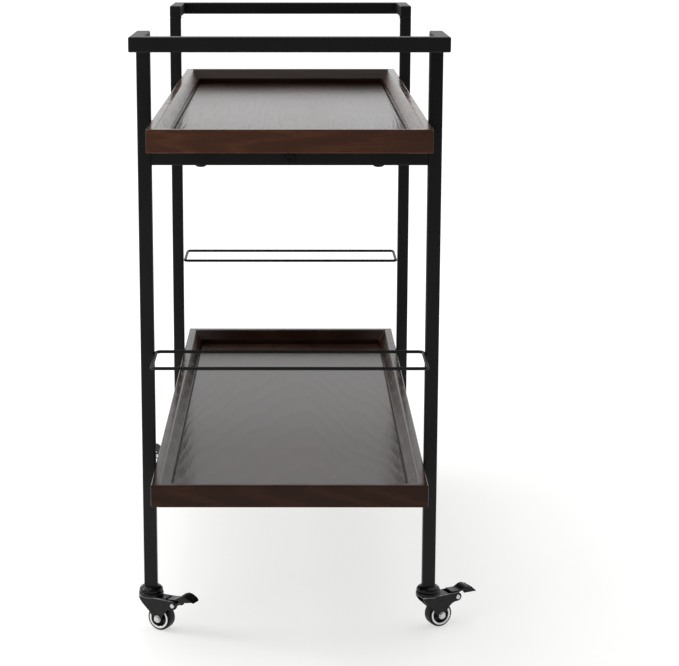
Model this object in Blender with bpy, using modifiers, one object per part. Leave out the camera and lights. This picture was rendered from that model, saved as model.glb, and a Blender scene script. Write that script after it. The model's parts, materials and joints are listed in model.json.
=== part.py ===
"""A bar cart on four braked swivel casters: a black square-tube frame, two wooden trays and two wire rails.

The cart stands on the floor at Z = 0 with its origin under its centre. Its length runs along Y, its width
along X. "Near" is the -Y end and "far" the +Y end; "left" is -X and "right" is +X.
"""

import math

import bmesh
import bpy
from mathutils import Euler, Matrix, Vector

# Frame, in metres
CART_WIDTH = 0.430  # over the legs
LEG_SPREAD = 0.769  # over the legs, end to end
TUBE = 0.0192
TUBE_WALL = 0.0012
TUBE_CORNER = 0.0020
HANDLE_HEIGHT = 0.0205
HANDLE_TOP = 0.8804
HANDLE_REACH = 0.1265  # from a leg's outer face to the handle's outer face
RAIL_DROP = 0.0330  # from a tray's underside to the underside of the rail that carries it
GAP = 0.0003  # left between pieces that touch

# Trays
TRAY_LENGTH = 1.028
TRAY_WIDTH = 0.387
TRAY_HEIGHT = 0.0322
TRAY_TOPS = {"upper": 0.7576, "lower": 0.2612}
RIM_LIP = 0.0120  # flat top of the rim
RIM_SLOPE_RUN = 0.0120
RIM_SLOPE_DROP = 0.0170
RIM_CHAMFER = 0.0008
PANEL_THICKNESS = 0.0070
PANEL_TONGUE = 0.0046  # thickness of the panel's edge, which lies under the rim
PANEL_SEAT = 0.0100  # how far the panel reaches under the rim
PANEL_GROOVE = 0.0014  # width of the groove between the rim and the panel's raised face
MITRE_GAP = 0.0002
CLEAT_LENGTH = 0.340
CLEAT_WIDTH = 0.036
CLEAT_INSET = 0.0020  # behind the rail's outer face

# Wire rails
WIRE_RADIUS = 0.0024
WIRE_HEIGHT = 0.4190
WIRE_DEPTH = 0.1049  # between the two long wires
WIRE_INSET = 0.0146  # of the inner long wire behind a leg's outer face
WIRE_CORNER = 0.0070
WIRE_CORNER_STEPS = 5

# Casters, in a caster's own axes: X trails away from the stem, Y is the axle's direction, Z is up
WHEEL_RADIUS = 0.0190
TREAD_HALF_WIDTH = 0.0090
TREAD_BORE = 0.0147
TRAIL = 0.0175
PEDAL_PIVOT = (0.0440, 0.0440)  # along X and Z
FORK_INNER = 0.0100
FORK_PLATE = 0.0020
FORK_TOP = 0.0510
SWIVEL_RADIUS = 0.0184
CUP_RADIUS = 0.0175
CASTER_HEIGHT = 0.0654
CUP_HEIGHT = 0.0080
PLUG_HEIGHT = 0.0220
SWIVEL_TOP = 0.0571
SWIVEL_BOTTOM = 0.0495
WEB_END = 0.0290  # where the fork's top web stops, clear of the pedal
BOSS_RADIUS = 0.0068
EAR_RADIUS = 0.0066
KINGPIN_RADIUS = 0.0030
KINGPIN_HEAD = (0.0052, 0.0034)  # radius and height
KINGPIN_HEAD_TOP = 0.0482
KINGPIN_CLEARANCE = 0.0005
AXLE_RADIUS = 0.0030
AXLE_HEAD = (0.0052, 0.0030)
PEDAL_PIN_RADIUS = 0.0020
PEDAL_PIN_HEAD = (0.0036, 0.0020)
HUB_RADIUS = 0.0060
HUB_WEB = 0.0040  # half thickness of the disc between hub and ring
RING_DEPTH = 0.0020
PEDAL_HALF_WIDTH = 0.0095
PEDAL_SHEET = 0.0020
PEDAL_BARREL = 0.0046
SHOE_REACH = 0.0166  # from the pedal's pivot to the face that bears on the tread
SHOE_DEGREES = 211.0
SHOE_HALF_DEGREES = 13.0
SHOE_HALF_WIDTH = 0.0055
CUTTER_REACH = 0.0200  # how far a cross drilling runs to each side of the caster's middle
TURN_STEPS = 24
SMALL_TURN_STEPS = 12
TRAIL_DEGREES = {"near_left": -28.0, "near_right": 25.6, "far_left": 150.0, "far_right": 147.0}
PEDAL_TRAVEL = 10.0  # degrees between free and braked
BRAKED = ["near_right"]  # casters whose pedal is modelled pressed down

# Fasteners
BOLT_RADIUS = 0.0030
BOLT_HEAD_RADIUS = 0.0080
BOLT_HEAD_HEIGHT = 0.0026
BOLT_LENGTH = 0.0330
BOLT_SOCKET = (0.0022, 0.0020)  # radius and depth
STRETCHER_PLATE = 0.0040

# Places that follow from the sizes above
LEG_X = CART_WIDTH / 2 - TUBE / 2
LEG_Y = LEG_SPREAD / 2 - TUBE / 2
LEG_TOP = HANDLE_TOP - HANDLE_HEIGHT - GAP
FORK_OUTER = FORK_INNER + FORK_PLATE
RIM_DEPTH = RIM_LIP + RIM_SLOPE_RUN
ENDS = {"near": -1, "far": 1}
SIDES = {"left": -1, "right": 1}

parts_collection = bpy.data.collections.new("bar_cart")
cutters_collection = bpy.data.collections.new("cutters")


def clear_scene():
    for old in list(bpy.data.objects):
        bpy.data.objects.remove(old, do_unlink=True)
    bpy.context.scene.collection.children.link(parts_collection)
    bpy.context.scene.collection.children.link(cutters_collection)


def make_material(name, colour, roughness, metallic=0.0):
    material = bpy.data.materials.new(name)
    material.use_nodes = True
    shader = material.node_tree.nodes["Principled BSDF"]
    shader.inputs["Base Color"].default_value = (*colour, 1.0)
    shader.inputs["Roughness"].default_value = roughness
    shader.inputs["Metallic"].default_value = metallic
    return material


MATERIALS = {
    "powder_coat": ("black_powder_coat", (0.012, 0.012, 0.011), 0.38, 0.0),
    "wood": ("walnut_stained_wood", (0.045, 0.020, 0.011), 0.35, 0.0),
    "cleat": ("dark_stained_batten", (0.030, 0.013, 0.008), 0.5, 0.0),
    "caster_steel": ("black_pressed_steel", (0.015, 0.015, 0.015), 0.3, 0.6),
    "bolt": ("black_oxide_steel", (0.010, 0.010, 0.010), 0.4, 0.3),
    "zinc": ("zinc_plated_steel", (0.62, 0.62, 0.60), 0.28, 1.0),
    "hub": ("grey_nylon", (0.10, 0.10, 0.10), 0.45, 0.0),
    "tread": ("black_polyurethane", (0.018, 0.018, 0.018), 0.5, 0.0),
}


def finish(item, look, smooth_degrees=None):
    """Give an object its own material and, for round pieces, smooth shading with sharp edges kept."""
    title, colour, roughness, metallic = MATERIALS[look]
    item.data.materials.clear()
    item.data.materials.append(make_material(f"{item.name}_{title}", colour, roughness, metallic))
    if smooth_degrees is not None:
        item.data.shade_smooth()
        item.data.set_sharp_from_angle(angle=math.radians(smooth_degrees))
    return item


def add_object(name, data, collection=parts_collection):
    item = bpy.data.objects.new(name, data)
    collection.objects.link(item)
    return item


def mark_cutter(cutter):
    """Move a mesh object to the cutters, hidden from the result."""
    for home in list(cutter.users_collection):
        home.objects.unlink(cutter)
    cutters_collection.objects.link(cutter)
    cutter.hide_render = True
    cutter.display_type = "WIRE"
    return cutter


def apply_boolean(item, other, operation="DIFFERENCE"):
    """Cut or join with a Boolean and keep the result as the object's own mesh."""
    modifier = item.modifiers.new(operation.lower(), "BOOLEAN")
    modifier.operation = operation
    modifier.solver = "EXACT"
    modifier.object = other
    freeze(item)
    bpy.data.objects.remove(other, do_unlink=True)
    return item


def freeze(item):
    """Turn an object's evaluated shape into its plain mesh."""
    bpy.context.view_layer.update()
    graph = bpy.context.evaluated_depsgraph_get()
    mesh = bpy.data.meshes.new_from_object(item.evaluated_get(graph))
    item.modifiers.clear()
    item.data = mesh
    return item


def mesh_from_curve(item):
    """Replace a curve object by a mesh object in the same place, with its caps welded on."""
    bpy.context.view_layer.update()
    graph = bpy.context.evaluated_depsgraph_get()
    mesh = bpy.data.meshes.new_from_object(item.evaluated_get(graph))
    editor = bmesh.new()
    editor.from_mesh(mesh)
    bmesh.ops.remove_doubles(editor, verts=editor.verts, dist=1e-6)
    bmesh.ops.recalc_face_normals(editor, faces=editor.faces)
    editor.to_mesh(mesh)
    editor.free()
    result = add_object(item.name + "_mesh", mesh)
    result.matrix_world = item.matrix_world.copy()
    name = item.name
    bpy.data.objects.remove(item, do_unlink=True)
    result.name = name
    return result


def box(name, low, high):
    """A box between two corners."""
    editor = bmesh.new()
    bmesh.ops.create_cube(editor, size=1.0)
    middle = (Vector(low) + Vector(high)) / 2
    size = Vector(high) - Vector(low)
    bmesh.ops.scale(editor, vec=size, verts=editor.verts)
    bmesh.ops.translate(editor, vec=middle, verts=editor.verts)
    mesh = bpy.data.meshes.new(name)
    editor.to_mesh(mesh)
    editor.free()
    return add_object(name, mesh)


def rod(name, start, end, radius, segments=TURN_STEPS):
    """A round bar between two points."""
    start, end = Vector(start), Vector(end)
    editor = bmesh.new()
    bmesh.ops.create_cone(editor, cap_ends=True, segments=segments, radius1=radius, radius2=radius,
                          depth=(end - start).length)
    mesh = bpy.data.meshes.new(name)
    editor.to_mesh(mesh)
    editor.free()
    turn = (end - start).to_track_quat("Z", "Y").to_matrix().to_4x4()
    mesh.transform(Matrix.Translation((start + end) / 2) @ turn)
    return add_object(name, mesh)


def turned(name, profile, steps=TURN_STEPS):
    """A closed profile of (radius, height) points, outer side first and top to bottom, turned about Z."""
    editor = bmesh.new()
    points = [editor.verts.new((radius, 0.0, height)) for radius, height in profile]
    for first, second in zip(points, points[1:] + points[:1]):
        if not (first.co.x < 1e-9 and second.co.x < 1e-9):
            editor.edges.new((first, second))
    mesh = bpy.data.meshes.new(name)
    editor.to_mesh(mesh)
    editor.free()
    item = add_object(name, mesh)
    screw = item.modifiers.new("turn", "SCREW")
    screw.axis = "Z"
    screw.steps = steps
    screw.render_steps = steps
    screw.use_merge_vertices = True
    screw.merge_threshold = 0.00001
    return freeze(item)


def outlined(name, outlines, half_thickness):
    """Flat outlines, the first the rim and any others holes, extruded both ways along Z."""
    curve = bpy.data.curves.new(name, "CURVE")
    curve.dimensions = "2D"
    curve.fill_mode = "BOTH"
    curve.extrude = half_thickness
    for outline in outlines:
        spline = curve.splines.new("POLY")
        spline.points.add(len(outline) - 1)
        for point, (x, y) in zip(spline.points, outline):
            point.co = (x, y, 0.0, 1.0)
        spline.use_cyclic_u = True
    return mesh_from_curve(add_object(name, curve))


def arc(centre, radius, start_degrees, end_degrees, steps):
    """Points on an arc, both ends included."""
    angles = [start_degrees + (end_degrees - start_degrees) * i / steps for i in range(steps + 1)]
    return [
        (centre[0] + radius * math.cos(math.radians(a)), centre[1] + radius * math.sin(math.radians(a)))
        for a in angles
    ]


def rounded_rectangle(width, height, radius, steps=3):
    points = []
    for turn, (sx, sy) in enumerate(((1, 1), (-1, 1), (-1, -1), (1, -1))):
        corner = (sx * (width / 2 - radius), sy * (height / 2 - radius))
        points += arc(corner, radius, 90 * turn, 90 * turn + 90, steps)
    return points


def square_tube(name, start, end, height=TUBE):
    """A thin-walled tube between the middles of its two ends, open at both."""
    start, end = Vector(start), Vector(end)
    outer = rounded_rectangle(TUBE, height, TUBE_CORNER)
    inner = rounded_rectangle(TUBE - 2 * TUBE_WALL, height - 2 * TUBE_WALL, TUBE_CORNER - TUBE_WALL, 1)
    item = outlined(name, [outer, inner], (end - start).length / 2)
    turn = (end - start).to_track_quat("Z", "Y").to_matrix().to_4x4()
    item.data.transform(Matrix.Translation((start + end) / 2) @ turn)
    return item


def place(item, matrix):
    item.matrix_world = matrix
    return item


# ---- frame ----


def make_legs():
    for end, ey in ENDS.items():
        for side, sx in SIDES.items():
            foot = (sx * LEG_X, ey * LEG_Y, CASTER_HEIGHT + GAP)
            top = (sx * LEG_X, ey * LEG_Y, LEG_TOP)
            leg = square_tube(f"leg_{end}_{side}", foot, top)
            finish(leg, "powder_coat")


def make_handle(end, ey):
    """A U of square tube: one bar across, and an arm over each leg of that end."""
    height = HANDLE_TOP - HANDLE_HEIGHT / 2
    inner_end = ey * (LEG_SPREAD / 2 - TUBE)
    outer_end = ey * (LEG_SPREAD / 2 + HANDLE_REACH)
    half = CART_WIDTH / 2
    outline = [(-half, inner_end), (-half, outer_end), (half, outer_end), (half, inner_end)]
    outline += [
        (half - TUBE, inner_end),
        (half - TUBE, outer_end - ey * TUBE),
        (TUBE - half, outer_end - ey * TUBE),
        (TUBE - half, inner_end),
    ]
    handle = outlined(f"handle_{end}", [outline], HANDLE_HEIGHT / 2)
    handle.data.transform(Matrix.Translation((0, 0, height)))
    bevel = handle.modifiers.new("corners", "BEVEL")
    bevel.width = TUBE_CORNER / 2
    bevel.segments = 2
    freeze(handle)
    hollow = hollow_of_handle(inner_end, outer_end, ey, height)
    apply_boolean(handle, hollow)
    finish(handle, "powder_coat")


def hollow_of_handle(inner_end, outer_end, ey, height):
    """The space inside a handle's tubes, which runs out at the ends of the two arms."""
    past = inner_end - ey * 0.001
    wall = TUBE_WALL
    half = CART_WIDTH / 2 - wall
    far_side = outer_end - ey * wall
    near_side = outer_end - ey * (TUBE - wall)
    inner_half = CART_WIDTH / 2 - TUBE + wall
    outline = [(-half, past), (-half, far_side), (half, far_side), (half, past)]
    outline += [(inner_half, past), (inner_half, near_side), (-inner_half, near_side), (-inner_half, past)]
    hollow = outlined("handle_hollow", [outline], HANDLE_HEIGHT / 2 - wall)
    hollow.data.transform(Matrix.Translation((0, 0, height)))
    return mark_cutter(hollow)


def rail_height(tray):
    return TRAY_TOPS[tray] - TRAY_HEIGHT - RAIL_DROP + TUBE / 2


def make_cross_rails():
    """Tubes from leg to leg under each tray end, each drilled for the bolt that holds the stretcher."""
    half = CART_WIDTH / 2 - TUBE - GAP
    for tray in TRAY_TOPS:
        height = rail_height(tray)
        for end, ey in ENDS.items():
            rail = square_tube(
                f"{tray}_cross_rail_{end}", (-half, ey * LEG_Y, height), (half, ey * LEG_Y, height)
            )
            hole_start = (0, ey * (LEG_Y - TUBE), height)
            hole_end = (0, ey * (LEG_Y + TUBE), height)
            hole = rod("hole", hole_start, hole_end, BOLT_RADIUS + GAP, SMALL_TURN_STEPS)
            apply_boolean(rail, mark_cutter(hole))
            finish(rail, "powder_coat")


def make_stretchers():
    """The centre tubes between the cross rails, with an end plate at each end for its bolt."""
    plate = STRETCHER_PLATE
    half = LEG_SPREAD / 2 - TUBE - GAP
    core = TUBE / 2 - TUBE_WALL
    for tray in TRAY_TOPS:
        height = rail_height(tray)
        name = f"{tray}_centre_stretcher"
        outline = rounded_rectangle(TUBE, TUBE, TUBE_CORNER)
        stretcher = outlined(name, [outline], half)
        turn = Euler((math.radians(90), 0, 0)).to_matrix().to_4x4()
        stretcher.data.transform(Matrix.Translation((0, 0, height)) @ turn)
        inside = box("inside", (-core, plate - half, height - core), (core, half - plate, height + core))
        apply_boolean(stretcher, mark_cutter(inside))
        hole_start = (0, -half - plate, height)
        hole_end = (0, half + plate, height)
        hole = rod("hole", hole_start, hole_end, BOLT_RADIUS + GAP, SMALL_TURN_STEPS)
        apply_boolean(stretcher, mark_cutter(hole))
        finish(stretcher, "powder_coat")


def make_stretcher_bolts():
    """Flat-headed bolts through the cross rails into the stretchers, heads outwards."""
    socket_radius, socket_depth = BOLT_SOCKET
    profile = [
        (0.0, BOLT_HEAD_HEIGHT - socket_depth),
        (socket_radius, BOLT_HEAD_HEIGHT - socket_depth),
        (socket_radius, BOLT_HEAD_HEIGHT),
        (BOLT_HEAD_RADIUS - 0.0008, BOLT_HEAD_HEIGHT),
        (BOLT_HEAD_RADIUS, BOLT_HEAD_HEIGHT - 0.0010),
        (BOLT_HEAD_RADIUS, 0.0),
        (BOLT_RADIUS, 0.0),
        (BOLT_RADIUS, -BOLT_LENGTH),
        (0.0, -BOLT_LENGTH),
    ]
    for tray in TRAY_TOPS:
        for end, ey in ENDS.items():
            bolt = turned(f"{tray}_stretcher_bolt_{end}", profile, SMALL_TURN_STEPS)
            turn = Euler((math.radians(-90 * ey), 0, 0)).to_matrix().to_4x4()
            spot = Matrix.Translation((0, ey * (LEG_SPREAD / 2 + GAP), rail_height(tray)))
            bolt.data.transform(spot @ turn)
            finish(bolt, "bolt", 40)


def make_wire_rails():
    """A rounded rectangle of wire at each end, welded between the legs and reaching out under the trays."""
    half_width = CART_WIDTH / 2 - TUBE - GAP - WIRE_RADIUS
    for end, ey in ENDS.items():
        middle = ey * (LEG_SPREAD / 2 - WIRE_INSET + WIRE_DEPTH / 2)
        path = rounded_rectangle(2 * half_width, WIRE_DEPTH, WIRE_CORNER, WIRE_CORNER_STEPS)
        curve = bpy.data.curves.new(f"wire_rail_{end}", "CURVE")
        curve.dimensions = "3D"
        curve.bevel_depth = WIRE_RADIUS
        curve.bevel_resolution = 2
        spline = curve.splines.new("POLY")
        spline.points.add(len(path) - 1)
        for point, (x, y) in zip(spline.points, path):
            point.co = (x, y + middle, WIRE_HEIGHT, 1.0)
        spline.use_cyclic_u = True
        rail = mesh_from_curve(add_object(f"wire_rail_{end}", curve))
        finish(rail, "powder_coat", 40)


# ---- trays ----


def rim_section():
    """The rim's cross-section as (depth in from the outer face, height below the top) points."""
    top = -RIM_CHAMFER
    foot = PANEL_TONGUE - TRAY_HEIGHT + GAP
    return [
        (0.0, top),
        (RIM_CHAMFER, 0.0),
        (RIM_LIP, 0.0),
        (RIM_DEPTH, -RIM_SLOPE_DROP),
        (RIM_DEPTH, foot),
        (RIM_DEPTH - PANEL_SEAT, foot),
        (RIM_DEPTH - PANEL_SEAT, -TRAY_HEIGHT),
        (RIM_CHAMFER, -TRAY_HEIGHT),
        (0.0, RIM_CHAMFER - TRAY_HEIGHT),
    ]


def rim(name, length, half_span, direction, top):
    """One mitred side of a tray. Its outer face looks in the direction given and is half_span out."""
    item = outlined(name, [rim_section()], length / 2)
    for vertex in item.data.vertices:
        depth, height, along = vertex.co
        along = math.copysign(length / 2 - depth - MITRE_GAP, along)
        outward = half_span - depth
        if direction.x:
            vertex.co = (direction.x * outward, direction.x * along, height + top)
        else:
            vertex.co = (-direction.y * along, direction.y * outward, height + top)
    editor = bmesh.new()
    editor.from_mesh(item.data)
    bmesh.ops.recalc_face_normals(editor, faces=editor.faces)
    editor.to_mesh(item.data)
    editor.free()
    return finish(item, "wood")


def make_tray(tray, top):
    for side, sx in SIDES.items():
        rim(f"{tray}_tray_rim_{side}", TRAY_LENGTH, TRAY_WIDTH / 2, Vector((sx, 0, 0)), top)
    for end, ey in ENDS.items():
        rim(f"{tray}_tray_rim_{end}", TRAY_WIDTH, TRAY_LENGTH / 2, Vector((0, ey, 0)), top)
    make_panel(tray, top)


def make_panel(tray, top):
    """The board that fills a tray: its edge lies under the rims and its raised face stands between them."""
    inset = RIM_DEPTH - PANEL_SEAT + GAP
    half_width = TRAY_WIDTH / 2 - inset
    half_length = TRAY_LENGTH / 2 - inset
    bottom = top - TRAY_HEIGHT
    panel = box(
        f"{tray}_tray_panel",
        (-half_width, -half_length, bottom),
        (half_width, half_length, bottom + PANEL_TONGUE),
    )
    editor = bmesh.new()
    editor.from_mesh(panel.data)
    face = max(editor.faces, key=lambda candidate: candidate.calc_center_median().z)
    border = PANEL_SEAT - GAP + PANEL_GROOVE
    bmesh.ops.inset_region(editor, faces=[face], thickness=border, use_boundary=True, use_even_offset=True)
    raised = bmesh.ops.extrude_discrete_faces(editor, faces=[face])["faces"][0]
    bmesh.ops.translate(editor, vec=(0, 0, PANEL_THICKNESS - PANEL_TONGUE), verts=raised.verts)
    editor.to_mesh(panel.data)
    editor.free()
    finish(panel, "wood")


def make_cleats(tray, top):
    """Battens that fill the space between the cross rails and the tray's underside."""
    underside = top - TRAY_HEIGHT - GAP
    bottom = rail_height(tray) + TUBE / 2 + GAP
    for end, ey in ENDS.items():
        outer = ey * (LEG_SPREAD / 2 - CLEAT_INSET)
        inner = outer - ey * CLEAT_WIDTH
        cleat = box(
            f"{tray}_cleat_{end}",
            (-CLEAT_LENGTH / 2, min(outer, inner), bottom),
            (CLEAT_LENGTH / 2, max(outer, inner), underside),
        )
        finish(cleat, "cleat")


# ---- casters ----


def caster_frame(corner):
    """The matrix from a caster's own axes to the cart's."""
    end, side = corner.split("_")
    spot = Vector((SIDES[side] * LEG_X, ENDS[end] * LEG_Y, 0))
    return Matrix.Translation(spot) @ Matrix.Rotation(math.radians(TRAIL_DEGREES[corner]), 4, "Z")


def about_y(x, z):
    """The matrix that lays a piece turned about Z along the caster's Y, centred at x and z."""
    return Matrix.Translation((x, 0, z)) @ Matrix.Rotation(math.radians(-90), 4, "X")


def stem_profile():
    """Plug in the leg, bearing cup under it, and the kingpin riveted over below the fork."""
    plug = TUBE / 2 - TUBE_WALL - 0.0004
    plug_top = CASTER_HEIGHT + PLUG_HEIGHT
    cup_bottom = CASTER_HEIGHT - CUP_HEIGHT
    head_radius, head_height = KINGPIN_HEAD
    return [
        (0.0, plug_top),
        (plug - 0.0010, plug_top),
        (plug, plug_top - 0.0010),
        (plug, CASTER_HEIGHT),
        (CUP_RADIUS - 0.0055, CASTER_HEIGHT - 0.0002),
        (CUP_RADIUS - 0.0020, CASTER_HEIGHT - 0.0016),
        (CUP_RADIUS, CASTER_HEIGHT - 0.0050),
        (CUP_RADIUS, cup_bottom),
        (KINGPIN_RADIUS, cup_bottom),
        (KINGPIN_RADIUS, KINGPIN_HEAD_TOP),
        (head_radius, KINGPIN_HEAD_TOP),
        (head_radius - 0.0007, KINGPIN_HEAD_TOP - head_height + 0.0004),
        (0.0, KINGPIN_HEAD_TOP - head_height),
    ]


def swivel_profile():
    """The turned swivel disc that sits under the bearing cup."""
    return [
        (0.0, SWIVEL_TOP),
        (SWIVEL_RADIUS - 0.0025, SWIVEL_TOP),
        (SWIVEL_RADIUS, SWIVEL_TOP - 0.0019),
        (SWIVEL_RADIUS, SWIVEL_BOTTOM + 0.0035),
        (SWIVEL_RADIUS - 0.0030, SWIVEL_BOTTOM),
        (0.0, SWIVEL_BOTTOM),
    ]


def fork_outline():
    """A side plate seen along the axle: down from the swivel, round the axle, and out to the pedal's ears."""
    axle_boss = arc((TRAIL, WHEEL_RADIUS), BOSS_RADIUS, 200, 350, 5)
    ear = arc(PEDAL_PIVOT, EAR_RADIUS, -70, 100, 5)
    front = [(-0.0150, FORK_TOP), (-0.0140, 0.0480), (-0.0090, 0.0400), (0.0020, 0.0300), (0.0080, 0.0220)]
    rear = [(0.0290, 0.0290), (0.0340, 0.0350)]
    top = [(0.0330, FORK_TOP)]
    return front + axle_boss + rear + ear + top


def make_fork(corner, frame):
    """A pressed channel: two side plates joined by a web under the swivel disc."""
    fork = upright(outlined(f"caster_fork_{corner}", [fork_outline()], FORK_OUTER))
    web_bottom = FORK_TOP - FORK_PLATE
    front, back, below, above = -0.05, 0.08, -0.01, 0.06  # all clear of the fork
    space = [(front, below), (back, below), (back, above), (WEB_END, above)]
    space += [(WEB_END, web_bottom), (front, web_bottom)]
    channel = upright(outlined("channel", [space], FORK_INNER))
    apply_boolean(fork, mark_cutter(channel))
    apply_boolean(fork, turned("swivel_disc", swivel_profile()), "UNION")
    kingpin_hole = rod(
        "kingpin_hole",
        (0, 0, SWIVEL_BOTTOM - CUTTER_REACH / 2),
        (0, 0, SWIVEL_TOP + CUTTER_REACH / 2),
        KINGPIN_RADIUS + KINGPIN_CLEARANCE,
        SMALL_TURN_STEPS,
    )
    apply_boolean(fork, mark_cutter(kingpin_hole))
    drill(fork, (TRAIL, WHEEL_RADIUS), AXLE_RADIUS)
    drill(fork, PEDAL_PIVOT, PEDAL_PIN_RADIUS)
    finish(place(fork, frame), "caster_steel", 35)


def upright(item):
    """Stand a shape drawn flat in X and Y up in X and Z, its thickness along Y."""
    item.data.transform(Matrix.Rotation(math.radians(90), 4, "X"))
    return item


def drill(item, spot, pin_radius):
    """Cut a hole through a caster piece along Y, at a spot in X and Z, for a pin."""
    x, z = spot
    hole = rod("hole", (x, -CUTTER_REACH, z), (x, CUTTER_REACH, z), pin_radius + GAP, SMALL_TURN_STEPS)
    apply_boolean(item, mark_cutter(hole))


def double_headed(shank, head, head_height):
    """A bolt with its nut run up, or a rivet: a shank with a head outside each plate of the fork."""
    chamfer = 0.0006
    half_length = FORK_OUTER + GAP
    return [
        (0.0, half_length + head_height),
        (head - chamfer, half_length + head_height),
        (head, half_length + head_height - chamfer),
        (head, half_length),
        (shank, half_length),
        (shank, -half_length),
        (head, -half_length),
        (head, chamfer - half_length - head_height),
        (head - chamfer, -half_length - head_height),
        (0.0, -half_length - head_height),
    ]


def wheel_core_profile():
    """Hub with a bore for the axle, a thin web, and the ring that the tread is moulded on."""
    bore = AXLE_RADIUS + GAP
    rim_out = TREAD_BORE - GAP
    rim_in = rim_out - RING_DEPTH
    rim_root = rim_in - 0.0006
    face = TREAD_HALF_WIDTH - 0.0002
    hub_face = FORK_INNER - GAP
    return [
        (rim_out, face),
        (rim_out, -face),
        (rim_in, -face),
        (rim_root, -HUB_WEB),
        (HUB_RADIUS, -HUB_WEB),
        (HUB_RADIUS, -hub_face),
        (bore, -hub_face),
        (bore, hub_face),
        (HUB_RADIUS, hub_face),
        (HUB_RADIUS, HUB_WEB),
        (rim_root, HUB_WEB),
        (rim_in, face),
    ]


def tread_profile():
    shoulder = 0.0030
    crown = 0.0003
    half = TREAD_HALF_WIDTH
    return [
        (TREAD_BORE, half),
        (WHEEL_RADIUS - shoulder, half),
        (WHEEL_RADIUS - 0.0011, half - 0.0010),
        (WHEEL_RADIUS - crown, half - shoulder),
        (WHEEL_RADIUS, 0.0),
        (WHEEL_RADIUS - crown, shoulder - half),
        (WHEEL_RADIUS - 0.0011, 0.0010 - half),
        (WHEEL_RADIUS - shoulder, -half),
        (TREAD_BORE, -half),
    ]


def sheet_outline(line, thickness):
    """The outline of a bent sheet from the line of its upper face."""
    points = [Vector(point) for point in line]
    lower = []
    for i, point in enumerate(points):
        before = points[max(i - 1, 0)]
        after = points[min(i + 1, len(points) - 1)]
        run = (after - before).normalized()
        lower.append(tuple(point + thickness * Vector((run.y, -run.x))))
    return line + lower[::-1]


def pedal_line():
    """The pedal's upper face seen along its pivot: a flat heel, a raised toe and a lip that turns down."""
    return [
        (0.0355, 0.0530),
        (0.0470, 0.0525),
        (0.0520, 0.0538),
        (0.0570, 0.0566),
        (0.0620, 0.0574),
        (0.0670, 0.0560),
        (0.0725, 0.0524),
        (0.0796, 0.0464),
    ]


def make_pedal(corner, frame):
    """The brake pedal: its bent plate, the barrel on the pivot, and the shoe, drawn in the braked position."""
    x, z = PEDAL_PIVOT
    plate = [sheet_outline(pedal_line(), PEDAL_SHEET)]
    pedal = upright(outlined(f"brake_pedal_{corner}", plate, PEDAL_HALF_WIDTH))
    web_line = [(x - 0.004, z), (x - 0.004, 0.0520), (x + 0.008, 0.0522), (x + 0.004, z)]
    web = upright(outlined("web", [web_line], PEDAL_HALF_WIDTH - 0.001))
    apply_boolean(pedal, web, "UNION")
    barrel_ends = ((x, -PEDAL_HALF_WIDTH, z), (x, PEDAL_HALF_WIDTH, z))
    barrel = rod("barrel", *barrel_ends, PEDAL_BARREL, SMALL_TURN_STEPS)
    apply_boolean(pedal, barrel, "UNION")
    shoe = [(x - 0.001, z + 0.003)]
    first, last = SHOE_DEGREES - SHOE_HALF_DEGREES, SHOE_DEGREES + SHOE_HALF_DEGREES
    shoe += arc(PEDAL_PIVOT, SHOE_REACH, first, last, 4)
    shoe += [(x + 0.001, z - 0.003)]
    apply_boolean(pedal, upright(outlined("shoe", [shoe], SHOE_HALF_WIDTH)), "UNION")
    drill(pedal, PEDAL_PIVOT, PEDAL_PIN_RADIUS)
    lift = 0.0 if corner in BRAKED else math.radians(PEDAL_TRAVEL)
    pivot = Matrix.Translation((x, 0, z))
    lifted = pivot @ Matrix.Rotation(-lift, 4, "Y") @ pivot.inverted()
    finish(place(pedal, frame @ lifted), "caster_steel", 35)


def make_caster(corner):
    """One caster. Each moving piece hangs on an empty that stands on its joint's axis."""
    frame = caster_frame(corner)
    stem = turned(f"caster_stem_{corner}", stem_profile())
    finish(place(stem, frame), "caster_steel", 35)
    make_fork(corner, frame)
    make_pedal(corner, frame)
    lying = about_y(TRAIL, WHEEL_RADIUS)
    axle = turned(f"caster_axle_{corner}", double_headed(AXLE_RADIUS, *AXLE_HEAD), SMALL_TURN_STEPS)
    finish(place(axle, frame @ lying), "zinc", 40)
    pin = turned(f"pedal_pin_{corner}", double_headed(PEDAL_PIN_RADIUS, *PEDAL_PIN_HEAD), SMALL_TURN_STEPS)
    finish(place(pin, frame @ about_y(*PEDAL_PIVOT)), "zinc", 40)
    core = turned(f"wheel_core_{corner}", wheel_core_profile())
    finish(place(core, frame @ lying), "hub", 40)
    tread = turned(f"wheel_tread_{corner}", tread_profile())
    finish(place(tread, frame @ lying), "tread", 40)
    hang_on_axes(corner, frame)


def hang_on_axes(corner, frame):
    """Parent the moving pieces to empties on the swivel, wheel and pedal axes."""
    groups = {
        "swivel": (frame, ["caster_fork", "caster_axle", "pedal_pin"]),
        "wheel": (frame @ about_y(TRAIL, WHEEL_RADIUS), ["wheel_core", "wheel_tread"]),
        "pedal": (frame @ about_y(*PEDAL_PIVOT), ["brake_pedal"]),
    }
    swivel = None
    for joint, (matrix, names) in groups.items():
        empty = add_object(f"{joint}_axis_{corner}", None)
        empty.matrix_world = matrix
        if swivel is None:
            swivel = empty
        else:
            hang(empty, swivel, matrix)
        for name in names:
            piece = bpy.data.objects[f"{name}_{corner}"]
            hang(piece, empty, piece.matrix_world.copy())


def hang(child, parent, matrix):
    bpy.context.view_layer.update()
    child.parent = parent
    child.matrix_parent_inverse = parent.matrix_world.inverted()
    child.matrix_world = matrix


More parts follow.
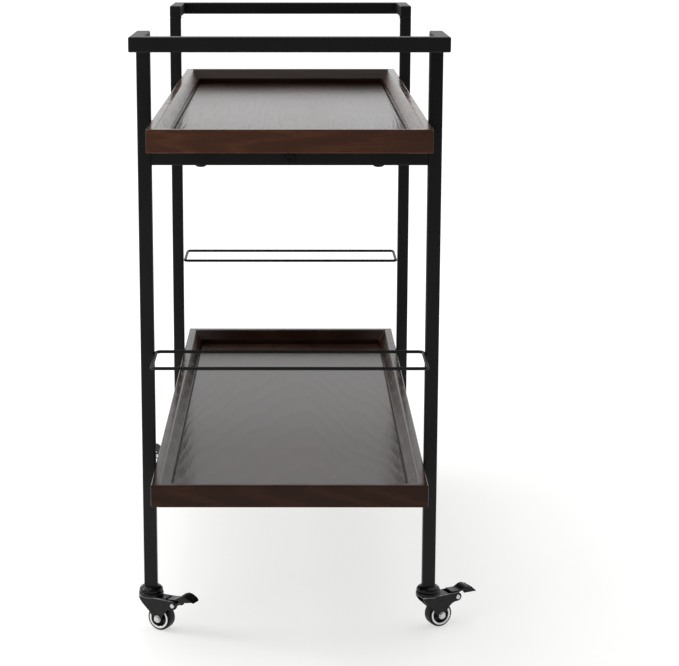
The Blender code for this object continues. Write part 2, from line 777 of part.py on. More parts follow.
clear_scene()
make_legs()
for end_name, end_sign in ENDS.items():
    make_handle(end_name, end_sign)
make_cross_rails()
make_stretchers()
make_stretcher_bolts()
make_wire_rails()
for tray_name, tray_top in TRAY_TOPS.items():
    make_tray(tray_name, tray_top)
    make_cleats(tray_name, tray_top)
for corner_name in TRAIL_DEGREES:
    make_caster(corner_name)
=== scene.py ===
# Bar cart on casters: black square-tube frame, two walnut-stained trays, wire rails, braked casters.
import json
import math
from contextlib import contextmanager

import bmesh
import bpy
from mathutils import Matrix, Vector


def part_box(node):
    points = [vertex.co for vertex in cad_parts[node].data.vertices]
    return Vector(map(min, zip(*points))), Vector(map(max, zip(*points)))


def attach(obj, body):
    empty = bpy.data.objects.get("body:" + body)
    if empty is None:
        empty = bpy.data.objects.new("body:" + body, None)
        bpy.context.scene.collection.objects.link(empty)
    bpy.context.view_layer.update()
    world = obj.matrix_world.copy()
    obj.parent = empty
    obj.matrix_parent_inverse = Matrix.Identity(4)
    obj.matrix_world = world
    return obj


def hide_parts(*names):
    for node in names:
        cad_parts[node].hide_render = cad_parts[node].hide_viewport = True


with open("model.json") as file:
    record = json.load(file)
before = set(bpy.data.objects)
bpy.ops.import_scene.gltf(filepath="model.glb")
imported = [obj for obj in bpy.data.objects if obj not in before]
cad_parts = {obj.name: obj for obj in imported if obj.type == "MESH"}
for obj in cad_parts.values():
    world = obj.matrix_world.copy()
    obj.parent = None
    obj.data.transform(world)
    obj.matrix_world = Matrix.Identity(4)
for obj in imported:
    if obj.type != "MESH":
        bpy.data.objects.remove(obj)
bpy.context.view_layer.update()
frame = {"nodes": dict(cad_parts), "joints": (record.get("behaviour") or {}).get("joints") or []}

print("frame loaded:", len(frame["nodes"]), "nodes")

ends = {"near": -1, "far": 1}
sides = {"left": -1, "right": 1}
rootBody = "cart_frame"


# shader sums: a socket that takes part in Python arithmetic
class Value:
    def __init__(self, finish, socket):
        self.finish = finish
        self.socket = socket

    def math(self, operation, first, second=0.0):
        return self.finish.node("ShaderNodeMath", {"operation": operation}, {0: first, 1: second})

    def __add__(self, other):
        return self.math("ADD", self, other)

    def __radd__(self, other):
        return self.math("ADD", other, self)

    def __sub__(self, other):
        return self.math("SUBTRACT", self, other)

    def __rsub__(self, other):
        return self.math("SUBTRACT", other, self)

    def __mul__(self, other):
        return self.math("MULTIPLY", self, other)

    def __rmul__(self, other):
        return self.math("MULTIPLY", other, self)

    def __pow__(self, other):
        return self.math("POWER", self, other)

    def apply(self, operation, other=0.0):
        return self.math(operation, self, other)


class NodeTree:
    def __init__(self, tree):
        self.tree = tree

    # any node: its settings are set first, then its sockets are linked or filled
    def node(self, kind, settings=None, sockets=None, output=0):
        node = self.tree.nodes.new(kind)
        for key, value in (settings or {}).items():
            if key == "stops":
                self.setStops(node.color_ramp, value)
            else:
                setattr(node, key, value)
        for key, value in (sockets or {}).items():
            self.feed(node.inputs[key], value)
        return Value(self, node.outputs[output])

    def setStops(self, ramp, stops):
        while len(ramp.elements) < len(stops):
            ramp.elements.new(0.5)
        for element, (place, colour) in zip(ramp.elements, stops):
            element.position = place
            element.color = (*colour, 1.0)

    def feed(self, socket, value):
        if isinstance(value, Value):
            self.tree.links.new(value.socket, socket)
        elif isinstance(value, tuple) and len(value) == 3 and socket.type == "RGBA":
            socket.default_value = (*value, 1.0)
        else:
            socket.default_value = value

    def split(self, vector):
        first = self.node("ShaderNodeSeparateXYZ", {}, {0: vector})
        return [Value(self, output) for output in first.socket.node.outputs]

    def noise(self, vector, scale, detail=2.0, roughness=0.5):
        sockets = {"Vector": vector, "Scale": scale, "Detail": detail, "Roughness": roughness}
        return self.node("ShaderNodeTexNoise", {}, sockets)

    def ramp(self, factor, stops):
        return self.node("ShaderNodeValToRGB", {"stops": stops}, {"Fac": factor})

    def remap(self, value, fromLow, fromHigh, toLow, toHigh):
        sockets = {
            "Value": value,
            "From Min": fromLow,
            "From Max": fromHigh,
            "To Min": toLow,
            "To Max": toHigh,
        }
        return self.node("ShaderNodeMapRange", {"interpolation_type": "SMOOTHSTEP"}, sockets)

    def mixColour(self, factor, first, second):
        return self.node("ShaderNodeMix", {"data_type": "RGBA"}, {0: factor, 6: first, 7: second}, output=2)


# a material: what is the same all over it is set on the shader's own sockets
class Finish(NodeTree):
    def __init__(self, name, **constants):
        self.material = bpy.data.materials.new(name)
        self.material.use_nodes = True
        super().__init__(self.material.node_tree)
        self.shader = self.tree.nodes["Principled BSDF"]
        for socket, value in constants.items():
            self.shader.inputs[socket.replace("_", " ")].default_value = value

    def set(self, socket, value):
        self.feed(self.shader.inputs[socket], value)

    # object coordinates, turned and moved so that each board has its own figure
    def coordinates(self, move=(0, 0, 0), turn=(0, 0, 0)):
        place = self.node("ShaderNodeTexCoord", output="Object")
        return self.node("ShaderNodeMapping", {}, {"Vector": place, "Location": move, "Rotation": turn})

    # the same coordinates, drawn out along the grain
    def drawnOut(self, place, along):
        return self.node("ShaderNodeVectorMath", {"operation": "MULTIPLY"}, {0: place, 1: (1.0, along, 1.0)})

    def bump(self, height, distance, strength):
        sockets = {"Height": height, "Distance": distance, "Strength": strength}
        self.set("Normal", self.node("ShaderNodeBump", {}, sockets))


def clearSelection():
    active = bpy.context.view_layer.objects.active
    if active and active.mode == "EDIT":
        bpy.ops.object.mode_set(mode="OBJECT")
    bpy.ops.object.select_all(action="DESELECT")


def activate(item):
    clearSelection()
    item.select_set(True)
    bpy.context.view_layer.objects.active = item


@contextmanager
def editing(item):
    activate(item)
    bpy.ops.object.mode_set(mode="EDIT")
    bpy.ops.mesh.select_mode(type="FACE")
    yield
    bpy.ops.object.mode_set(mode="OBJECT")


# select the faces or edges of the mesh in edit mode that pass a test
def pick(kind, test):
    bpy.ops.mesh.select_all(action="DESELECT")
    bpy.ops.mesh.select_mode(type="FACE" if kind == "faces" else "EDGE")
    mesh = bmesh.from_edit_mesh(bpy.context.object.data)
    for element in getattr(mesh, kind):
        if test(element):
            element.select_set(True)
    mesh.select_flush_mode()
    bmesh.update_edit_mesh(bpy.context.object.data)


def facing(direction, places=None):
    direction = Vector(direction).normalized()

    def test(face):
        if face.normal.dot(direction) < 0.99:
            return False
        return places is None or places(face.calc_center_median())

    return test


# edges that run along an axis, with their middle where the test says
def running(axis, places=lambda middle: True):
    def test(edge):
        run = (edge.verts[1].co - edge.verts[0].co).normalized()
        middle = (edge.verts[0].co + edge.verts[1].co) / 2
        return abs(run[axis]) > 0.99 and places(middle)

    return test


def settle(item):
    activate(item)
    bpy.ops.object.transform_apply(location=True, rotation=True, scale=True)
    return item


def justMade(name):
    item = bpy.context.object
    item.name = name
    item.data.name = name
    return settle(item)


def addBox(name, low, high):
    low, high = Vector(low), Vector(high)
    clearSelection()
    bpy.ops.mesh.primitive_cube_add(size=1.0, location=(low + high) / 2)
    bpy.context.object.scale = high - low
    return justMade(name)


def addRod(name, start, end, radius, vertices=32):
    start, end = Vector(start), Vector(end)
    turn = (end - start).to_track_quat("Z", "Y").to_euler()
    clearSelection()
    bpy.ops.mesh.primitive_cylinder_add(
        vertices=vertices,
        radius=radius,
        depth=(end - start).length,
        location=(start + end) / 2,
        rotation=turn,
    )
    return justMade(name)


# a turned piece: one circle, extruded and scaled from point to point of its (radius, height) profile
def addTurned(name, profile, vertices=40):
    clearSelection()
    radius, height = profile[0]
    start = (0, 0, height)
    bpy.ops.mesh.primitive_circle_add(vertices=vertices, radius=radius, location=start, fill_type="NGON")
    item = justMade(name)
    with editing(item):
        bpy.ops.mesh.select_all(action="SELECT")
        for nextRadius, nextHeight in profile[1:]:
            move = (0, 0, nextHeight - height)
            bpy.ops.mesh.extrude_region_move(TRANSFORM_OT_translate={"value": move})
            factor = nextRadius / radius
            pivot = (0, 0, nextHeight)
            bpy.ops.transform.resize(value=(factor, factor, 1), center_override=pivot)
            radius, height = nextRadius, nextHeight
        bpy.ops.mesh.select_all(action="SELECT")
        bpy.ops.mesh.normals_make_consistent(inside=False)
    return item


def applyModifier(item, kind, **settings):
    activate(item)
    bpy.ops.object.modifier_add(type=kind)
    modifier = item.modifiers[-1]
    for key, value in settings.items():
        setattr(modifier, key, value)
    bpy.ops.object.modifier_apply(modifier=modifier.name)
    return item


def combine(item, other, operation):
    applyModifier(item, "BOOLEAN", operation=operation, solver="EXACT", object=other)
    bpy.data.objects.remove(other, do_unlink=True)
    return item


def joinAll(name, items):
    clearSelection()
    for item in items:
        item.select_set(True)
    bpy.context.view_layer.objects.active = items[0]
    bpy.ops.object.join()
    items[0].name = name
    return items[0]


def roundEdges(item, width, segments=3, degrees=30):
    return applyModifier(
        item,
        "BEVEL",
        width=width,
        segments=segments,
        limit_method="ANGLE",
        angle_limit=math.radians(degrees),
        use_clamp_overlap=True,
    )


def smoothShade(item, degrees=35):
    activate(item)
    bpy.ops.object.shade_smooth_by_angle(angle=math.radians(degrees))
    return applyModifier(item, "WEIGHTED_NORMAL", keep_sharp=True, weight=50)


# cut away what lies on the side that the normal points to, and close the cut
def sliceOff(item, point, normal):
    with editing(item):
        bpy.ops.mesh.select_all(action="SELECT")
        bpy.ops.mesh.bisect(plane_co=point, plane_no=normal, use_fill=True, clear_outer=True)
    return item


def copyOf(item, name, matrix=None):
    twin = item.copy()
    twin.data = item.data.copy()
    twin.name = name
    twin.data.name = name
    bpy.context.scene.collection.objects.link(twin)
    if matrix is not None:
        twin.matrix_world = matrix
        settle(twin)
    return twin


# give a finished piece its finish, its body and the CAD nodes it stands for
def install(item, body, slotName, finish, *nodes):
    item.data.materials.clear()
    item.data.materials.append(finish.material)
    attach(item, body)
    if nodes:
        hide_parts(*nodes)
    return item


def powderCoatFinish():
    finish = Finish("blackPowderCoat", IOR=1.45, Specular_IOR_Level=0.25)
    place = finish.coordinates()
    peel = finish.noise(place, 950.0, 3.0)
    swell = finish.noise(place, 14.0, 2.0)
    greys = [(0.3, (0.0098, 0.0101, 0.0097)), (0.7, (0.0128, 0.0131, 0.0125))]
    finish.set("Base Color", finish.ramp(swell, greys))
    finish.set("Roughness", 0.36 + 0.10 * peel + 0.06 * swell)
    finish.bump(peel + 0.4 * swell, 0.00035, 0.22)
    return finish


grain = {
    "ringWidth": 0.0085,
    "fibres": 1500.0,
    "pore": (0.010, 0.0046, 0.0032),
    "browns": [
        (0.30, (0.034, 0.0128, 0.0068)),
        (0.52, (0.056, 0.0205, 0.0102)),
        (0.74, (0.088, 0.0330, 0.0150)),
    ],
}


# open-grained wood: growth rings cut lengthwise, pores in the early wood, stain that takes unevenly
def stainedWoodFinish(name, alongX=False, seed=0.0, stainAndLightTone=1.0, gloss=0.28):
    finish = Finish(name, IOR=1.5, Specular_IOR_Level=gloss)
    turn = (0, 0, math.pi / 2) if alongX else (0, 0, 0)
    place = finish.coordinates((seed * 0.37, seed * 1.91, seed * 0.53), turn)
    stretched = finish.drawnOut(place, 0.10)
    across, along, _ = finish.split(place)
    wander = finish.noise(stretched, 9.0, 3.0, 0.55)
    drift = finish.noise(stretched, 2.6, 1.0)
    heart = across + 0.16 * wander + 0.10 * drift - 0.13 - seed * 0.37
    rise = 0.085 * along + 0.05 * drift
    ringRadius = (heart * heart + rise * rise + 0.0004).apply("SQRT")
    ring = (ringRadius * (math.tau / grain["ringWidth"])).apply("SINE") * 0.5 + 0.5
    early = ring ** 2.5
    streak = finish.noise(finish.drawnOut(place, 0.022), grain["fibres"], 3.0, 0.6)
    pores = finish.remap(streak, 0.50, 0.70, 0.0, 1.0) * (0.25 + 0.75 * early)
    blotch = finish.noise(stretched, 6.0, 4.0, 0.6)
    # the tone scales the browns: stain strength set board by board, with painted light and shade in it
    stops = [(stop, tuple(part * stainAndLightTone for part in colour)) for stop, colour in grain["browns"]]
    brown = finish.ramp(blotch + 0.18 * early - 0.09, stops)
    finish.set("Base Color", finish.mixColour(pores * 0.7, brown, grain["pore"]))
    finish.set("Roughness", 0.17 + 0.08 * pores + 0.05 * blotch)
    finish.bump(early * 0.8 + 0.4 * (1.0 - pores), 0.0002, 0.42)
    return finish


def glossBlackFinish():
    finish = Finish("glossBlackSteel", IOR=1.5, Specular_IOR_Level=0.26)
    place = finish.coordinates()
    ripple = finish.noise(place, 420.0, 2.0)
    dust = finish.noise(place, 90.0, 4.0, 0.65)
    black = finish.ramp(dust, [(0.45, (0.006, 0.006, 0.006)), (0.85, (0.018, 0.018, 0.017))])
    # painted highlight: where the fork's folds are marked, the black turns pale grey and rougher, standing
    # for light caught along the bend
    rubbed = finish.node("ShaderNodeAttribute", {"attribute_name": "rubbed"}, output="Fac")
    highlightMask = finish.remap(rubbed, 0.35, 0.75, 0.0, 1.0) * finish.remap(dust, 0.30, 0.50, 0.6, 1.0)
    finish.set("Base Color", finish.mixColour(highlightMask, black, (0.50, 0.50, 0.49)))
    finish.set("Roughness", 0.16 + 0.16 * dust + 0.12 * highlightMask)
    finish.bump(ripple, 0.0002, 0.15)
    return finish


def zincFinish():
    finish = Finish("brightZinc", Metallic=1.0)
    place = finish.coordinates()
    spangle = finish.noise(place, 700.0, 3.0)
    finish.set("Base Color", finish.ramp(spangle, [(0.3, (0.52, 0.53, 0.54)), (0.7, (0.80, 0.80, 0.78))]))
    finish.set("Roughness", 0.20 + 0.18 * spangle)
    finish.bump(spangle, 0.0001, 0.2)
    return finish


# a moulded or plated finish between two colours
def mouldedFinish(name, low, high, roughness, **constants):
    finish = Finish(name, IOR=1.5, **constants)
    place = finish.coordinates()
    grain = finish.noise(place, 1600.0, 2.0)
    cloud = finish.noise(place, 70.0, 3.0)
    finish.set("Base Color", finish.ramp(cloud, [(0.35, low), (0.7, high)]))
    finish.set("Roughness", roughness + 0.1 * grain)
    finish.bump(grain, 0.00015, 0.2)
    return finish


finishes = {
    "frame": powderCoatFinish(),
    "caster": glossBlackFinish(),
    "zinc": zincFinish(),
    "oxide": mouldedFinish(
        "blackOxide",
        (0.006, 0.006, 0.006),
        (0.012, 0.012, 0.011),
        0.40,
        Specular_IOR_Level=0.2,
    ),
    "hub": mouldedFinish(
        "blackNylon",
        (0.008, 0.008, 0.008),
        (0.016, 0.016, 0.016),
        0.42,
        Specular_IOR_Level=0.3,
    ),
    "ring": mouldedFinish(
        "brightRing",
        (0.86, 0.86, 0.85),
        (0.95, 0.95, 0.94),
        0.18,
        Metallic=0.6,
    ),
    "tread": mouldedFinish(
        "blackPolyurethane",
        (0.006, 0.006, 0.006),
        (0.012, 0.012, 0.012),
        0.34,
        Specular_IOR_Level=0.14,
    ),
}


tube = {"corner": 0.0020, "cornerSteps": 4, "wall": 0.0012, "mouthDepth": 0.030}


def squareTube(name, low, high, axis, openEnd=None):
    item = addBox(name, low, high)
    with editing(item):
        pick("edges", running(axis))
        bpy.ops.mesh.bevel(offset=tube["corner"], segments=tube["cornerSteps"], affect="EDGES")
        if openEnd is not None:
            direction = Vector((0, 0, 0))
            direction[axis] = openEnd
            pick("faces", facing(direction))
            bpy.ops.mesh.inset(thickness=tube["wall"])
            bpy.ops.mesh.extrude_region_move(
                TRANSFORM_OT_translate={"value": tuple(-direction * tube["mouthDepth"])}
            )
    return smoothShade(item)


def makeLegs():
    for end in ends:
        for side in sides:
            node = f"leg_{end}_{side}"
            low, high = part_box(node)
            high.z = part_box(f"handle_{end}")[0].z
            leg = squareTube(f"{node}_tube", low, high, 2, openEnd=-1)
            install(leg, rootBody, "frame_black", finishes["frame"], node)


# a U of tube: a corner block drawn out across the cart, then both arms drawn back over the legs
def makeHandle(end, sign):
    node = f"handle_{end}"
    low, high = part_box(node)
    legLow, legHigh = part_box(f"leg_{end}_left")
    width = legHigh.x - legLow.x
    blockLow, blockHigh = low.copy(), high.copy()
    blockHigh.x = low.x + width
    if sign < 0:
        blockHigh.y = low.y + width
    else:
        blockLow.y = high.y - width
    handle = addBox(f"{node}_tube", blockLow, blockHigh)
    reach = (high.y - low.y - width) * -sign
    with editing(handle):
        pick("faces", facing((1, 0, 0)))
        for step in (high.x - low.x - 2 * width, width):
            bpy.ops.mesh.extrude_region_move(TRANSFORM_OT_translate={"value": (step, 0, 0)})
        atEnds = lambda middle: middle.x < low.x + width or middle.x > high.x - width
        pick("faces", facing((0, -sign, 0), atEnds))
        bpy.ops.mesh.extrude_region_move(TRANSFORM_OT_translate={"value": (0, reach, 0)})
    roundEdges(handle, tube["corner"], tube["cornerSteps"], 60)
    smoothShade(handle)
    install(handle, rootBody, "frame_black", finishes["frame"], node)


def makeRails():
    for tray in ("upper", "lower"):
        stretcherNode = f"{tray}_centre_stretcher"
        stretcherLow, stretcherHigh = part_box(stretcherNode)
        for end, sign in ends.items():
            node = f"{tray}_cross_rail_{end}"
            low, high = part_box(node)
            low.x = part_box(f"leg_{end}_left")[1].x
            high.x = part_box(f"leg_{end}_right")[0].x
            rail = squareTube(f"{node}_tube", low, high, 0)
            install(rail, rootBody, "frame_black", finishes["frame"], node)
            if sign < 0:
                stretcherLow.y = high.y
            else:
                stretcherHigh.y = low.y
        stretcher = squareTube(f"{stretcherNode}_tube", stretcherLow, stretcherHigh, 1)
        install(stretcher, rootBody, "frame_black", finishes["frame"], stretcherNode)


# a bead is a row of small tilted drops, each run into the last
def weldBead(name, start, end, radius=0.0013):
    start, end = Vector(start), Vector(end)
    pitch = radius * 0.75
    length = (end - start).length
    count = max(3, round(length / pitch))
    clearSelection()
    bpy.ops.mesh.primitive_uv_sphere_add(segments=10, ring_count=6, radius=radius, location=(0, 0, radius))
    bead = justMade(name)
    with editing(bead):
        bpy.ops.mesh.select_all(action="SELECT")
        bpy.ops.transform.resize(value=(1.0, 1.0, 0.72), center_override=(0, 0, radius))
    step = (length - 2 * radius) / (count - 1)
    applyModifier(
        bead,
        "ARRAY",
        count=count,
        use_relative_offset=False,
        use_constant_offset=True,
        constant_offset_displace=(0, 0, step),
    )
    turn = (end - start).to_track_quat("Z", "Y").to_matrix().to_4x4()
    bead.matrix_world = Matrix.Translation(start) @ turn
    settle(bead)
    activate(bead)
    bpy.ops.object.shade_smooth()
    return bead


def makeWelds():
    beads = []
    inset = 0.0018
    for end in ends:
        for side, sign in sides.items():
            low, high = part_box(f"leg_{end}_{side}")
            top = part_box(f"handle_{end}")[0].z - 0.0002
            for y in (low.y, high.y):
                beads.append(weldBead("bead", (low.x + inset, y, top), (high.x - inset, y, top)))
            inner = high.x if sign < 0 else low.x
            beads.append(weldBead("bead", (inner, low.y + inset, top), (inner, high.y - inset, top)))
            for tray in ("upper", "lower"):
                railLow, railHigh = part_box(f"{tray}_cross_rail_{end}")
                for z in (railLow.z, railHigh.z):
                    start = (inner, railLow.y + inset, z)
                    beads.append(weldBead("bead", start, (inner, railHigh.y - inset, z)))
    welds = joinAll("frame_welds", beads)
    install(welds, rootBody, "frame_black", finishes["frame"])


wire = {"ringVertices": 16, "cornerSteps": 8, "corner": 0.0070}


# a ring drawn along each side of the loop and spun round each corner
def makeWireRail(end):
    node = f"wire_rail_{end}"
    low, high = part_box(node)
    radius = (high.z - low.z) / 2
    corner = wire["corner"]
    left, right = low.x + radius, high.x - radius
    front, back = low.y + radius, high.y - radius
    height = (low.z + high.z) / 2
    clearSelection()
    bpy.ops.mesh.primitive_circle_add(
        vertices=wire["ringVertices"],
        radius=radius,
        location=(left + corner, front, height),
        rotation=(0, math.pi / 2, 0),
    )
    rail = justMade(f"{node}_wire")
    straights = [(right - left, 0), (0, back - front), (left - right, 0), (0, front - back)]
    centres = [(right, front, -1, 1), (right, back, -1, -1), (left, back, 1, -1), (left, front, 1, 1)]
    with editing(rail):
        bpy.ops.mesh.select_mode(type="EDGE")
        bpy.ops.mesh.select_all(action="SELECT")
        for (runX, runY), (x, y, towardsX, towardsY) in zip(straights, centres):
            shorter = 1 - 2 * corner / math.hypot(runX, runY)
            move = (runX * shorter, runY * shorter, 0)
            bpy.ops.mesh.extrude_region_move(TRANSFORM_OT_translate={"value": move})
            pivot = (x + towardsX * corner, y + towardsY * corner, height)
            bpy.ops.mesh.spin(steps=wire["cornerSteps"], angle=-math.pi / 2, center=pivot, axis=(0, 0, 1))
        bpy.ops.mesh.select_all(action="SELECT")
        bpy.ops.mesh.remove_doubles(threshold=0.00002)
        bpy.ops.mesh.normals_make_consistent(inside=False)
    smoothShade(rail, 50)
    install(rail, rootBody, "frame_black", finishes["frame"], node)


trayShape = {
    "lip": 0.0120,
    "slopeRun": 0.0120,
    "slopeDrop": 0.0170,
    "softEdge": 0.0016,
    "seatClearance": 0.0002,
    "mitreLine": 0.00012,
    "tongue": 0.0046,
    "groove": 0.0014,
    "faceEdge": 0.0005,
}


# the whole rim as one ring, before it is mitred into four
def rimRing(tray):
    low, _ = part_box(f"{tray}_tray_rim_left")
    _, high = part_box(f"{tray}_tray_rim_right")
    panelLow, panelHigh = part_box(f"{tray}_tray_panel")
    low.y, high.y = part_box(f"{tray}_tray_rim_near")[0].y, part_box(f"{tray}_tray_rim_far")[1].y
    ring = addBox(f"{tray}_rim_ring", low, high)
    with editing(ring):
        pick("faces", facing((0, 0, 1)))
        bpy.ops.mesh.inset(thickness=trayShape["lip"])
        bpy.ops.mesh.inset(thickness=trayShape["slopeRun"], depth=-trayShape["slopeDrop"])
        drop = panelLow.z + trayShape["tongue"] / 2 - (high.z - trayShape["slopeDrop"])
        bpy.ops.mesh.extrude_region_move(TRANSFORM_OT_translate={"value": (0, 0, drop)})
    clear = trayShape["seatClearance"]
    seatLow = panelLow - Vector((clear, clear, 0.01))
    seatHigh = Vector((panelHigh.x + clear, panelHigh.y + clear, panelLow.z + trayShape["tongue"] + clear))
    combine(ring, addBox("seat", seatLow, seatHigh), "DIFFERENCE")
    roundEdges(ring, trayShape["softEdge"], 3, 30)
    return ring, low, high


# for each board: where its grain starts, its tone and its gloss; the tone is stain strength with painted
# light and shade in it, the near rims lit brighter and the far rims and the lower tray's rims shaded darker
trayWood = {
    "upper": {
        "left": (1.0, 0.75, 0.28),
        "right": (2.3, 0.75, 0.28),
        "near": (3.1, 1.75, 0.28),
        "far": (4.7, 0.4, 0.24),
        "panel": (0.0, 0.40, 0.30),
    },
    "lower": {
        "left": (5.2, 0.5, 0.28),
        "right": (6.6, 0.5, 0.28),
        "near": (7.4, 0.72, 0.15),
        "far": (8.9, 0.4, 0.50),
        "panel": (1.7, 0.40, 0.30),
    },
}


# each pair of rims is cut from the ring, one in place and one turned half round
def makeTray(tray):
    ring, low, high = rimRing(tray)
    line = trayShape["mitreLine"]
    cuts = {
        "left": [
            ((low.x, low.y + line, 0), (1, -1, 0)),
            ((low.x, high.y - line, 0), (1, 1, 0)),
            ((0, 0, 0), (1, 0, 0)),
        ],
        "near": [((low.x + line, low.y, 0), (-1, 1, 0)), ((high.x - line, low.y, 0), (1, 1, 0))],
    }
    for side, opposite in (("left", "right"), ("near", "far")):
        for turn, place in enumerate((side, opposite)):
            node = f"{tray}_tray_rim_{place}"
            board = copyOf(ring, f"{node}_board")
            for point, normal in cuts[side]:
                sliceOff(board, point, normal)
            if turn:
                board.matrix_world = Matrix.Rotation(math.pi, 4, "Z")
                settle(board)
            smoothShade(board)
            title = f"walnutRim{tray.title()}{place.title()}"
            finish = stainedWoodFinish(title, side == "near", *trayWood[tray][place])
            install(board, rootBody, "tray_wood", finish, node)
    bpy.data.objects.remove(ring, do_unlink=True)
    makePanel(tray)


# a board with a tongue all round, its face raised between the rims
def makePanel(tray):
    node = f"{tray}_tray_panel"
    low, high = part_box(node)
    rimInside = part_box(f"{tray}_tray_rim_left")[1].x
    face = high.z
    high.z = low.z + trayShape["tongue"]
    panel = addBox(f"{node}_board", low, high)
    with editing(panel):
        pick("faces", facing((0, 0, 1)))
        bpy.ops.mesh.inset(thickness=rimInside - low.x + trayShape["groove"])
        bpy.ops.mesh.extrude_region_move(TRANSFORM_OT_translate={"value": (0, 0, face - high.z)})
        pick("edges", lambda edge: min(vertex.co.z for vertex in edge.verts) > face - 0.0001)
        bpy.ops.mesh.bevel(offset=trayShape["faceEdge"], segments=3, affect="EDGES")
    smoothShade(panel)
    finish = stainedWoodFinish(f"walnutPanel{tray.title()}", False, *trayWood[tray]["panel"])
    install(panel, rootBody, "tray_wood", finish, node)


cleats = {"softEdge": 0.0015, "seed": 3.3, "stainAndLightTone": 1.3}


def makeCleats():
    for tray in ("upper", "lower"):
        for seed, end in enumerate(ends):
            node = f"{tray}_cleat_{end}"
            low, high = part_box(node)
            cleat = addBox(f"{node}_batten", low, high)
            roundEdges(cleat, cleats["softEdge"], 2)
            smoothShade(cleat)
            title = f"cleat{tray.title()}{end.title()}"
            finish = stainedWoodFinish(title, True, cleats["seed"] + seed, cleats["stainAndLightTone"])
            install(cleat, rootBody, "cleat_wood", finish, node)


bolts = {
    "flatHead": 0.0080,
    "flatEdge": 0.0007,
    "socket": 0.0026,
    "flatSocketDepth": 0.0018,
    "domeSocketDepth": 0.0020,
    "domeAcross": 0.0082,
    "domeTall": 0.0034,
    "domeWasher": 0.0008,
    "fromCentre": 0.126,
}


def socketCutter(top, depth):
    return addRod("socket", (0, 0, top - depth), (0, 0, top + 0.002), bolts["socket"], 6)


def flatHeadBolt(height):
    radius = bolts["flatHead"]
    edge = bolts["flatEdge"]
    profile = [(radius, 0), (radius, height - edge), (radius - 0.3 * edge, height - 0.3 * edge)]
    profile += [(radius - edge, height), (radius - 2 * edge, height)]
    head = addTurned("flat_head", profile)
    combine(head, socketCutter(height, bolts["flatSocketDepth"]), "DIFFERENCE")
    roundEdges(head, 0.00015, 2, 50)
    return smoothShade(head)


def domedBolt():
    radius, height = bolts["domeAcross"], bolts["domeTall"]
    washer = bolts["domeWasher"]
    profile = [(radius, 0), (radius, washer), (radius - 0.0006, washer + 0.0001)]
    for step in range(1, 7):
        angle = math.radians(step * 13)
        across = (radius - 0.0008) * math.cos(angle)
        profile.append((across, washer + 0.0004 + (height - washer - 0.0004) * math.sin(angle)))
    head = addTurned("domed_head", profile)
    combine(head, socketCutter(height, bolts["domeSocketDepth"]), "DIFFERENCE")
    return smoothShade(head)


def makeBolts():
    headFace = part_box("upper_stretcher_bolt_near")[0].y
    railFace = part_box("upper_cross_rail_near")[0].y
    master = flatHeadBolt(railFace - headFace)
    dome = domedBolt()
    for tray in ("upper", "lower"):
        for end, sign in ends.items():
            node = f"{tray}_stretcher_bolt_{end}"
            low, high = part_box(node)
            railLow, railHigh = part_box(f"{tray}_cross_rail_{end}")
            face = railLow.y if sign < 0 else railHigh.y
            spot = Matrix.Translation((0, face, (low.z + high.z) / 2))
            turn = Matrix.Rotation(math.radians(-90 * sign), 4, "X")
            bolt = copyOf(master, f"{node}_head", spot @ turn)
            install(bolt, rootBody, "bolt_black", finishes["oxide"], node)
            middle = (railLow.y + railHigh.y) / 2
            for side, across in sides.items():
                spot = Matrix.Translation((across * bolts["fromCentre"], middle, railLow.z))
                upsideDown = spot @ Matrix.Rotation(math.pi, 4, "X")
                under = copyOf(dome, f"{tray}_tray_bolt_{end}_{side}", upsideDown)
                install(under, rootBody, "bolt_black", finishes["oxide"])
    bpy.data.objects.remove(master, do_unlink=True)
    bpy.data.objects.remove(dome, do_unlink=True)


# a caster is made once about its stem, with the wheel trailing along X
caster = {
    "height": 0.0654,
    "trail": 0.0175,
    "wheelRadius": 0.0190,
    "treadHalf": 0.0090,
    "forkInner": 0.0100,
    "plate": 0.0020,
    "bend": 0.0024,
    "forkTop": 0.0510,
    "webEnd": 0.0290,
    "swivelRadius": 0.0184,
    "cupRadius": 0.0175,
    "pivotX": 0.0440,
    "pivotZ": 0.0440,
    "earRadius": 0.0066,
    "bossRadius": 0.0068,
    "dimple": 0.0062,
    "balls": 18,
    "ballRadius": 0.0012,
    "raceRadius": 0.0135,
    "raceHeight": 0.0572,
}

wheel = {
    "bore": 0.0155,
    "shoulder": 0.0030,
    "hub": 0.0060,
    "axleBore": 0.0033,
    "spokes": 5,
    "spoke": 0.0010,
    "spokeSide": 0.0044,
    "spokeStart": 0.0055,
    "spokeEnd": 0.0128,
    "ringRadius": 0.0141,
    "ringWire": 0.0018,
    "ringFlatness": 0.55,
    "inset": 0.0006,
}

axleBolt = {"shank": 0.0029, "washer": 0.0056, "washerTall": 0.0007, "head": 0.0048, "headTop": 0.0030}

rivet = {"shank": 0.0020, "head": 0.0036, "headSoft": 0.0031}


def arcPoints(centreX, centreY, radius, start, end, steps):
    turns = [math.radians(start + (end - start) * i / steps) for i in range(steps + 1)]
    return [(centreX + radius * math.cos(turn), centreY + radius * math.sin(turn)) for turn in turns]


# a flat outline in X and Z, drawn out to a half thickness each way along Y
def addPlate(name, outline, half):
    curve = bpy.data.curves.new(name, "CURVE")
    curve.dimensions = "2D"
    curve.fill_mode = "BOTH"
    curve.extrude = half
    spline = curve.splines.new("POLY")
    spline.points.add(len(outline) - 1)
    for point, (x, z) in zip(spline.points, outline):
        point.co = (x, z, 0, 1)
    spline.use_cyclic_u = True
    item = bpy.data.objects.new(name, curve)
    bpy.context.scene.collection.objects.link(item)
    item.rotation_euler = (math.pi / 2, 0, 0)
    activate(item)
    bpy.ops.object.convert(target="MESH")
    item = settle(bpy.context.object)
    with editing(item):
        bpy.ops.mesh.select_all(action="SELECT")
        bpy.ops.mesh.remove_doubles(threshold=0.000001)
        bpy.ops.mesh.normals_make_consistent(inside=False)
    return item


